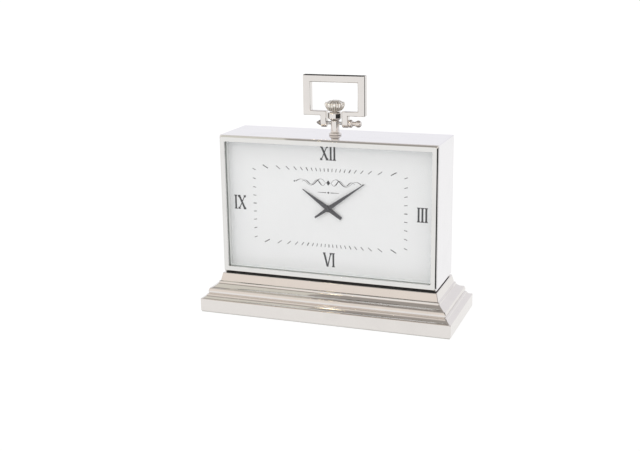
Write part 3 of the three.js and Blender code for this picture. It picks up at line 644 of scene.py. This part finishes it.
# The outside of the shell, from the foot up: (outset from the case's face, height).
MOULDING = traced(
    (OUTSET, FOOT),
    (OUTSET, 14.9),
    (OUTSET, 15.7, OUTSET - 0.8, 15.7),
    # the lower cove
    (16.6, 16.4, 15.1, 20),
    (13.4, 20.5),
    # the round
    (14.9, 23.4, 12.7, 26.6),
    # the upper cove
    (8, 27.4, 4.9, 31.6),
    (4.7, 33.3),
    # the sloping band under the rim
    (3, 34),
    (1.1, RIM - 0.8),
    (0.9, RIM, 0.1, RIM),
)
# The inside of the shell, from the rim down.
HOLLOW = [
    (-6, RIM),
    (-6, RIM - 2.5),
    (-1.6, RIM - 2.5),
    (-1.6, 31),
    (2.3, 31),
    (2.3, 21.5),
    (11, 21.5),
    (11, 13),
    (OUTSET - 2.6, 13),
    (OUTSET - 2.6, FOOT),
]


def plinth():
    section = [(-outset, height) for outset, height in MOULDING + HOLLOW]
    mesh = swept_frame(
        "plinth_moulding",
        section,
        CASE_HIGH.x,
        CASE_HIGH.y,
        lambda inset: PLINTH_CORNER,
        lambda a, b, height: (a, b, height),
    )
    piece(mesh, plinth_nickel, BODY, "plinth_shell", edge=0.3)


plinth()
kept("felt_pad", pale_felt, 0.3)
kept("base_board", board, 0.4)
kept("case_spacer", black_paint)
for side in ("left", "right"):
    kept("case_bolt_" + side, zinc, 0.15)
    kept("case_nut_" + side, zinc, 0.2)

# ------------------------------------------------------------------ case

CASE_WALL = 2
CASE_CORNER = 1
CASE_INNER_CORNER = 0.3
BEZEL_CHAMFER = 1.35
BEZEL_SIDE = 6  # the bar's width at the sides
BEZEL_TOP = 6.5  # and at the top and bottom
BEZEL_CORNER = 2.5
BEZEL_INNER_CORNER = 0.6


def upright(a, b, depth):
    """A point of the case's front view, at a depth from front to back."""
    return (a, depth, CASE_MID_Z + b)


def case_wrap():
    front, back = CASE_LOW.y, CASE_HIGH.y
    section = [(0, front), (0, back), (CASE_WALL, back), (CASE_WALL, front)]
    half_a, half_b = CASE_HIGH.x, (CASE_HIGH.z - CASE_LOW.z) / 2
    mesh = swept_frame(
        "case_wrap",
        section,
        half_a,
        half_b,
        lambda inset: max(CASE_CORNER - inset, CASE_INNER_CORNER),
        upright,
    )
    piece(mesh, case_nickel, BODY, "case_shell", edge=0.25)


def bezel():
    front, back = BEZEL_LOW.y, BEZEL_HIGH.y
    section = [
        (0, back),
        (0, front + BEZEL_CHAMFER),
        (BEZEL_CHAMFER, front),
        (BEZEL_SIDE, front),
        (BEZEL_SIDE, back),
    ]
    half_a, half_b = BEZEL_HIGH.x, (BEZEL_HIGH.z - BEZEL_LOW.z) / 2
    mesh = swept_frame(
        "bezel_frame",
        section,
        half_a,
        half_b,
        lambda inset: BEZEL_CORNER + (BEZEL_INNER_CORNER - BEZEL_CORNER) * inset / BEZEL_SIDE,
        upright,
        taper=(1.0, BEZEL_TOP / BEZEL_SIDE),
    )
    piece(mesh, bezel_nickel, BODY, "front_bezel", edge=0.15)


case_wrap()
bezel()
kept("glass_pane", glass, 0.25)
kept("dial_surround", dial_wall)
kept("dial_plate", dial_face)
kept("dial_board", board, 0.2)
kept("inner_frame", board, 0.4)
kept("back_panel", black_paint, 0.4)
for index in range(1, 5):
    kept(f"back_screw_{index}", zinc, 0.12)

# ------------------------------------------------------------------ dial print

PRINT_THICK = 0.06
PRINT_BACK = PLATE_FRONT - 0.01
PRINT_FRONT = PRINT_BACK - PRINT_THICK
LETTER_HIGH = 16.2
STEM = 2.05
HAIRLINE = 1.1
STEM_PITCH = 4.2
SERIF_THICK = 0.9
SERIF_FLARE = 1.5
SERIF_TIP = 1.9  # how far an I's serif reaches where it ends free
SERIF_JOINED = STEM_PITCH / 2  # and where it meets the next I's
X_HALF = 3.6
V_HALF = 3.9
NUMERAL_X = 106
NUMERAL_HIGH_Z = 61.7
NUMERAL_LOW_Z = -58.9


def printed(name, outline):
    """A flat printed shape from an outline about the dial's centre."""
    return prism(name, [(x, DIAL_Z + z) for x, z in outline], PRINT_BACK, PRINT_FRONT)


def stroke(x_low, x_high, mid_z, width):
    """A straight stroke of a letter from its foot to its head, width measured across."""
    half = LETTER_HIGH / 2
    return [
        (x_low - width / 2, mid_z - half),
        (x_low + width / 2, mid_z - half),
        (x_high + width / 2, mid_z + half),
        (x_high - width / 2, mid_z + half),
    ]


def serif(x, mid_z, end, left, right):
    """A serif at a stroke's head (end 1) or foot (end -1): thin at its tips, and flared where the stroke
    runs into it."""
    z = mid_z + end * LETTER_HIGH / 2
    tip = z - end * 0.55 * SERIF_THICK
    neck = z - end * SERIF_THICK
    return traced(
        (x - left, z),
        (x + right, z),
        (x + right, tip),
        (x + STEM / 2, neck, x + STEM / 2, neck - end * SERIF_FLARE),
        (x - STEM / 2, neck - end * SERIF_FLARE),
        (x - STEM / 2, neck, x - left, tip),
        steps=4,
    )


def letter_i(x, mid_z, left=SERIF_TIP, right=SERIF_TIP):
    return [
        stroke(x, x, mid_z, STEM),
        serif(x, mid_z, -1, left, right),
        serif(x, mid_z, 1, left, right),
    ]


def letter_x(x, mid_z):
    left, right = x - X_HALF, x + X_HALF
    return [
        stroke(right, left, mid_z, STEM * 1.2),
        stroke(left, right, mid_z, HAIRLINE),
        serif(left, mid_z, 1, 1.5, 1.9),
        serif(right, mid_z, 1, 1.6, 1.3),
        serif(left, mid_z, -1, 1.3, 1.6),
        serif(right, mid_z, -1, 1.9, 1.5),
    ]


def letter_v(x, mid_z):
    left, right = x - V_HALF, x + V_HALF
    return [
        stroke(x, left, mid_z, STEM * 1.1),
        stroke(x + 0.2, right, mid_z, HAIRLINE * 1.15),
        serif(left, mid_z, 1, 1.5, 1.9),
        serif(right, mid_z, 1, 1.5, 1.4),
    ]


def numerals():
    """XII, III, VI and IX, in that order."""
    strokes = [
        *letter_x(-4.3, NUMERAL_HIGH_Z),
        *letter_i(3.2, NUMERAL_HIGH_Z, left=SERIF_JOINED, right=SERIF_JOINED),
        *letter_i(3.2 + STEM_PITCH, NUMERAL_HIGH_Z, left=SERIF_JOINED),
        *letter_i(NUMERAL_X - STEM_PITCH, 0, right=SERIF_JOINED),
        *letter_i(NUMERAL_X, 0, left=SERIF_JOINED, right=SERIF_JOINED),
        *letter_i(NUMERAL_X + STEM_PITCH, 0, left=SERIF_JOINED),
        *letter_v(-1.9, NUMERAL_LOW_Z),
        *letter_i(5, NUMERAL_LOW_Z),
        *letter_i(-NUMERAL_X - 5.4, 0),
        *letter_x(-NUMERAL_X + 2.2, 0),
    ]
    meshes = [printed(f"stroke_{k}", outline) for k, outline in enumerate(strokes)]
    piece(merged("dial_numerals", meshes), print_dark, BODY, smooth=False)


# The minute track: marks that run outwards from the border of a rectangle.
TRACK_HALF = (86, 41)
TRACK_WIDE = 3.6
MINUTE_THICK = 0.75
HOUR_THICK = 0.95


def reach(angle, margin):
    """How far a ray from the dial's centre runs inside the track's rectangle, made larger by margin."""
    across, up = abs(math.sin(angle)), abs(math.cos(angle))
    return min(
        (TRACK_HALF[0] + margin) / max(across, 1e-9),
        (TRACK_HALF[1] + margin) / max(up, 1e-9),
    )


def minute_track(name, finish, minutes, thick):
    """One mesh of the marks at these minutes."""
    points, faces = [], []
    for minute in minutes:
        angle = math.radians(6 * minute)
        out_x, out_z = math.sin(angle), math.cos(angle)
        near, far, half = reach(angle, 0), reach(angle, TRACK_WIDE), thick / 2
        outline = [
            (run * out_x + side * out_z, run * out_z - side * out_x)
            for run, side in ((near, -half), (near, half), (far, half), (far, -half))
        ]
        start = len(points)
        for y in (PRINT_BACK, PRINT_FRONT):
            points += [(x, y, DIAL_Z + z) for x, z in outline]
        sides = side_faces(2, len(outline)) + end_faces(2, len(outline))
        faces += [tuple(start + k for k in face) for face in sides]
    piece(closed_mesh(name, points, faces), finish, BODY, smooth=False)


ORNAMENT_Z = 28.5
ORNAMENT_HALF = 38
SWASH_START = 3.2
RULE_Z = 17.6
RULE_START = 2.6
RULE_END = 12.5


def ribbon(centre_line, widths):
    """The outline of a line of (x, z) points with a width at each."""
    left, right = [], []
    for k, ((x, z), width) in enumerate(zip(centre_line, widths)):
        before = Vector(centre_line[max(k - 1, 0)])
        after = Vector(centre_line[min(k + 1, len(centre_line) - 1)])
        along = (after - before).normalized()
        left.append((x - along.y * width / 2, z + along.x * width / 2))
        right.append((x + along.y * width / 2, z - along.x * width / 2))
    return left + right[::-1]


def lozenge(x, z, half_a, half_b):
    return [(x - half_a, z), (x, z - half_b), (x + half_a, z), (x, z + half_b)]


def swash(side, rise, waves, far):
    """A tapering wave from beside the lozenge outwards, swelling on each downstroke."""
    line, widths = [], []
    steps = 60
    for k in range(steps + 1):
        t = k / steps
        phase = 2 * math.pi * waves * t
        x = side * (SWASH_START + (far - SWASH_START) * t)
        line.append((x, ORNAMENT_Z + rise * math.sin(phase) * (1 - 0.5 * t)))
        widths.append(0.3 + 0.85 * max(-math.cos(phase), 0) * (1 - 0.4 * t))
    return ribbon(line, widths)


def ornament():
    """A plain flourish under the twelve: a lozenge between pairs of tapering waves, over a rule."""
    outlines = [lozenge(0, ORNAMENT_Z, 2.3, 3.0), lozenge(0, RULE_Z, 1.3, 1.3)]
    for side in (-1, 1):
        outlines.append(swash(side, 4.6, 1.5, ORNAMENT_HALF))
        outlines.append(swash(side, -3.4, 2.0, 0.8 * ORNAMENT_HALF))
        outlines.append(lozenge(side * (ORNAMENT_HALF + 1.6), ORNAMENT_Z, 1.1, 1.1))
        outlines.append(ribbon([(side * RULE_START, RULE_Z), (side * RULE_END, RULE_Z)], [0.8, 0.3]))
    meshes = [printed(f"flourish_{k}", outline) for k, outline in enumerate(outlines)]
    piece(merged("dial_ornament", meshes), print_dark, BODY, smooth=False)


numerals()
minute_track("dial_minute_track", print_grey, [m for m in range(60) if m % 5], MINUTE_THICK)
minute_track("dial_hour_track", print_dark, range(0, 60, 5), HOUR_THICK)
ornament()

# ------------------------------------------------------------------ finial, pin and handle

STUD = 2.5
NECK = 4.8
NECK_TOP = 16
NUT_SIDES = 8
NUT_BORE = 2.9
NUT_CORNER = 7.9
KNOB_LOBES = 10
KNOB_LOBE_DEEP = 1.5
KNOB_FLUTE_DEEP = 0.7
PIN_BORE = 1.95
PIN_BEVEL = 0.3
BALL = 4


def on_post(a, b, height):
    """A point of a piece turned about the post, its height measured from the case top."""
    return (a, b, CASE_TOP + height)


def on_pin(a, b, along):
    """A point of a piece turned about the pin."""
    return (along, a, PIN_Z + b)


def finial_post():
    """A flange and a neck, on a stud that runs down through the case top and up into the knob."""
    low, high = limits("finial_post")
    foot, head, flange, under = low.z - CASE_TOP, high.z - CASE_TOP, high.x, 0.2
    profile = traced(
        (0, foot),
        (STUD, foot),
        (STUD, under),
        (flange - 0.3, under),
        (flange, under, flange, under + 0.4),
        (flange, 1.5),
        (flange, 2.3, flange - 0.8, 2.5),
        (5.7, 2.6),
        (5.6, 3.1),
        (5, 3.4, NECK, 4.6),
        (NECK, NECK_TOP - 0.7),
        (NECK, NECK_TOP, NECK - 0.7, NECK_TOP),
        (STUD, NECK_TOP),
        (STUD, head),
        (0, head),
        steps=6,
    )
    piece(turned("finial_post_turned", profile, on_post), small_nickel, BODY, "finial_post", edge=0.12)


def lock_nut():
    """An octagonal nut whose corners are turned back at both ends."""
    low, high = limits("lock_nut")
    foot, head = low.z - CASE_TOP, high.z - CASE_TOP
    levels = [
        (NUT_BORE, foot),
        (5.3, foot),
        (NUT_CORNER, foot + 2.4),
        (NUT_CORNER, head - 1.6),
        (5.8, head),
        (NUT_BORE, head),
    ]
    rings = []
    for radius, height in levels:
        angles = [2 * math.pi * (k + 0.5) / NUT_SIDES for k in range(NUT_SIDES)]
        rings.append([on_post(radius * math.cos(t), radius * math.sin(t), height) for t in angles])
    piece(skinned("lock_nut_faceted", rings, closed=True), small_nickel, BODY, "lock_nut", edge=0.35)


def crown_knob():
    """A crown like a watch's: a fluted bowl with a lobed rim and a low petalled dome."""
    low, high = limits("crown_knob")
    foot = low.z - CASE_TOP
    # (radius, height above the knob's foot)
    side = traced((5, 0), (7.8, 0.2, 9.6, 2.9), (11, 4.9, 11.6, 7.1), (12, 8.9, 10.6, 9.7), steps=7)
    dome = traced((10.6, 9.7), (9, 9.8, 7.6, 10.8), (5, 12.2, 1.2, high.z - low.z), steps=6)[1:]
    around = KNOB_LOBES * 30
    rings = []
    for row, (radius, height) in enumerate(side + dome):
        rise = row / (len(side) - 1)
        if row < len(side):
            lobed, fluted = rise, math.sin(math.pi * rise)
        else:
            lobed, fluted = 1 - 0.8 * (row - len(side) + 1) / len(dome), 0
        ring = []
        for k in range(around):
            angle = 2 * math.pi * k / around
            lobe = 1 - abs(math.cos(KNOB_LOBES / 2 * angle))
            flute = 1 - abs(math.sin(KNOB_FLUTES / 2 * angle))
            far = radius - KNOB_LOBE_DEEP * lobed * lobe * radius / high.x
            far -= KNOB_FLUTE_DEEP * fluted * flute
            ring.append(on_post(far * math.cos(angle), far * math.sin(angle), foot + height))
        rings.append(ring)
    piece(skinned("crown_knob_fluted", rings), fluted_nickel, "crown", "crown_knob")


def pivot_pin():
    left, right, radius = PIN_LOW.x, PIN_HIGH.x, PIN_HIGH.z - PIN_Z
    profile = [
        (0, left),
        (radius - PIN_BEVEL, left),
        (radius, left + PIN_BEVEL),
        (radius, right - PIN_BEVEL),
        (radius - PIN_BEVEL, right),
        (0, right),
    ]
    piece(turned("pivot_pin_turned", profile, on_pin, 40), zinc, BODY, "pivot_pin", edge=0.1)


def pin_cap():
    """A blunt cone over the pin's left end."""
    low, high = limits("pin_cap")
    tip, face, rim = low.x, high.x, high.z - PIN_Z
    profile = traced(
        (0, tip),
        (rim - 2.3, tip, rim - 2, tip + 0.5),
        (rim - 0.8, tip + 2.6),
        (rim - 0.1, tip + 3.6, rim, tip + 4.2),
        (rim, face),
        (PIN_BORE, face),
        (PIN_BORE, tip + 2.2),
        (0, tip + 2.2),
        steps=5,
    )
    piece(turned("pin_cap_turned", profile, on_pin, 48), painted_shade_nickel, BODY, "pin_cap", edge=0.1)


def thumb_nut():
    """A collar, a waist and a ball on the pin's right end."""
    low, high = limits("thumb_nut")
    face, end, rim = low.x, high.x, high.z - PIN_Z
    bore_end = PIN_HIGH.x + 0.3
    profile = [
        (0, bore_end),
        (PIN_BORE, bore_end),
        *traced(
            (PIN_BORE, face),
            (rim - 1, face),
            (rim, face + 0.5, rim, face + 1.5),
            (rim, face + 2.7),
            (rim, face + 3.8, rim - 1, face + 4.2),
            (2.7, face + 4.8),
            (2.2, face + 5.5, 2.5, face + 6.7),
            steps=5,
        ),
        *arc(0, end - BALL, BALL, -40, 84, 16),
        (0, end),
    ]
    piece(turned("thumb_nut_turned", profile, on_pin, 56), small_nickel, "thumb", "thumb_nut", edge=0.1)


finial_post()
lock_nut()
crown_knob()
pivot_pin()
pin_cap()
thumb_nut()
kept("handle", small_nickel, 0.6, segments=1)
kept("post_washer", zinc, 0.1)
kept("post_nut", zinc, 0.2)

# ------------------------------------------------------------------ movement and hands

kept("movement_case", black_plastic, 0.4)
kept("movement_cover", black_plastic, 0.25)
for name in ("threaded_bush", "bush_nut", "bush_washer", "contact_positive", "contact_negative"):
    kept(name, yellow_brass, 0.1)
kept("rubber_washer", black_rubber, 0.15)
kept("circuit_board", solder_mask, 0.1)
kept("coil", winding)
kept("stator", zinc, 0.1)
kept("battery", cell_sleeve, 0.15)
kept("minute_arbor", zinc)
kept("hour_wheel", yellow_brass)
kept("centre_wheel", yellow_brass)
kept("setting_knob", white_plastic, 0.2)
for name in ("rotor", "minute_wheel", "third_wheel", "seconds_wheel", "intermediate_wheel"):
    kept(name, white_plastic)
for name in ("hour_hand", "minute_hand"):
    kept(name, hand_paint, 0.08)
kept("hand_cap", hand_paint)

# ------------------------------------------------------------------ studio

FLOOR_HALF = 14000
FLOOR_GLOW = 0.95
WALL_FAR = 13500
WALL_HIGH = 9000
WALL_GLOW = 1.05
WHITE = (1.0, 1.0, 1.0)
COOL = (0.93, 0.97, 1.0)
WARM = (1.0, 0.86, 0.6)
FRONT_SKY = (1.0, 0.93, 0.87)
BACK_SKY = (0.97, 0.965, 1.0)
CEILING = (0.42, 0.395, 0.37)
BLACK_CARD = ((0.02, 0.02, 0.02), 0.0)
PALE_CARD = ((0.9, 0.88, 0.8), 0.85)


def studio_piece(name, corners, faces, albedo, light, glow, shows_in=()):
    """Part of the room: flat faces that may glow. shows_in lists the only rays that meet it."""
    mesh = bpy.data.meshes.new(name)
    mesh.from_pydata([Vector(corner) * MM for corner in corners], [], faces)
    made = bpy.data.objects.new(name, mesh)
    bpy.context.scene.collection.objects.link(made)
    material = bpy.data.materials.new(name)
    material.use_nodes = True
    shader = material.node_tree.nodes["Principled BSDF"]
    shader.inputs["Base Color"].default_value = (albedo, albedo, albedo, 1)
    shader.inputs["Roughness"].default_value = 0.9
    shader.inputs["Emission Color"].default_value = (*light, 1)
    shader.inputs["Emission Strength"].default_value = glow
    mesh.materials.append(material)
    if shows_in:
        for rays in ("camera", "diffuse", "glossy", "shadow", "transmission", "volume_scatter"):
            setattr(made, "visible_" + rays, rays in shows_in)


def lying(start, end, height):
    """The corners of a level rectangle between two opposite (x, y) corners."""
    (x0, y0), (x1, y1) = start, end
    return [(x0, y0, height), (x1, y0, height), (x1, y1, height), (x0, y1, height)]


def standing(start, end, low, high):
    """The corners of an upright rectangle over the line between two (x, y) points."""
    return [(*start, low), (*end, low), (*end, high), (*start, high)]


def floor():
    corners = lying((-FLOOR_HALF, -FLOOR_HALF), (FLOOR_HALF, FLOOR_HALF), 0)
    studio_piece("floor", corners, [(0, 1, 2, 3)], 0.05, WHITE, FLOOR_GLOW)


def backdrop():
    """A white wall far round the floor, which only the camera sees."""
    steps = 48
    rings = []
    for height in (0, WALL_HIGH):
        angles = [2 * math.pi * k / steps for k in range(steps)]
        rings.append([(WALL_FAR * math.cos(t), WALL_FAR * math.sin(t), height) for t in angles])
    corners = rings[0] + rings[1]
    studio_piece("backdrop", corners, side_faces(2, steps), 0.0, WHITE, WALL_GLOW, ("camera",))


def card(name, finish, corners):
    """A card that only shows in polished metal. finish is its light's colour and strength."""
    studio_piece(name, corners, [(0, 1, 2, 3)], 0.02, *finish, ("glossy",))


def sky():
    """White round the horizon, cool behind and warm in front, over a dimmer warm ceiling."""
    world = bpy.data.worlds.new("studio")
    bpy.context.scene.world = world
    world.use_nodes = True
    tree = world.node_tree
    split = tree.nodes.new("ShaderNodeSeparateXYZ")
    tree.links.new(tree.nodes.new("ShaderNodeTexCoord").outputs["Generated"], split.inputs[0])

    def ramp(value, low, high):
        """From 0 to 1 as a part of the direction, which runs from -1 to 1, goes from low to high."""
        node = tree.nodes.new("ShaderNodeMapRange")
        node.interpolation_type = "SMOOTHSTEP"
        tree.links.new(value, node.inputs[0])
        node.inputs[1].default_value = low
        node.inputs[2].default_value = high
        return node.outputs[0]

    def mix(share, first, second):
        node = tree.nodes.new("ShaderNodeMix")
        node.data_type = "RGBA"
        tree.links.new(share, node.inputs["Factor"])
        for socket, value in ((node.inputs["A"], first), (node.inputs["B"], second)):
            if isinstance(value, bpy.types.NodeSocket):
                tree.links.new(value, socket)
            else:
                socket.default_value = (*value, 1)
        return node.outputs["Result"]

    horizon = mix(ramp(split.outputs["Y"], -0.4, 0.4), FRONT_SKY, BACK_SKY)
    whole = mix(ramp(split.outputs["Z"], 0.5, 0.8), horizon, CEILING)
    tree.links.new(whole, tree.nodes["Background"].inputs["Color"])


def lamp(name, place, size, watts, colour, glossy=True):
    """A square lamp that points at the clock. Its image shows in polished metal if glossy."""
    data = bpy.data.lights.new(name, "AREA")
    data.size = size * MM
    data.energy = watts
    data.color = colour
    made = bpy.data.objects.new(name, data)
    bpy.context.scene.collection.objects.link(made)
    made.location = Vector(place) * MM
    made.rotation_euler = (AIM - Vector(place)).to_track_quat("-Z", "Y").to_euler()
    made.visible_glossy = glossy


floor()
backdrop()
sky()
lamp("overhead", (0, -300, 1700), 1600, 17, COOL, glossy=False)
lamp("key", (-500, -1500, 900), 1000, 6, COOL, glossy=False)
lamp("glint", (-455, -900, 1100), 45, 0.13, WARM)
# Each card's place is where one edge of the clock mirrors it to the camera. The dark line down the
# bezel's right-hand chamfer:
card("card_near", BLACK_CARD, standing((228, -95), (247, -42), 1, 180))
# The dark right-hand edges of the neck, the lock nut and the handle:
card("card_right", BLACK_CARD, standing((250, -195), (330, -60), 145, 240))
# The dark top of the handle, first its flat and then the chamfer in front of it:
card("card_behind", BLACK_CARD, standing((-62, 60), (18, 60), 271, 280))
card("card_above", BLACK_CARD, lying((-125, -52), (-30, -8), 468))
# The pale left part of the plinth's coves:
card("card_left", PALE_CARD, lying((-850, -500), (-335, 300), 900))
bpy.context.scene.view_settings.view_transform = "Standard"
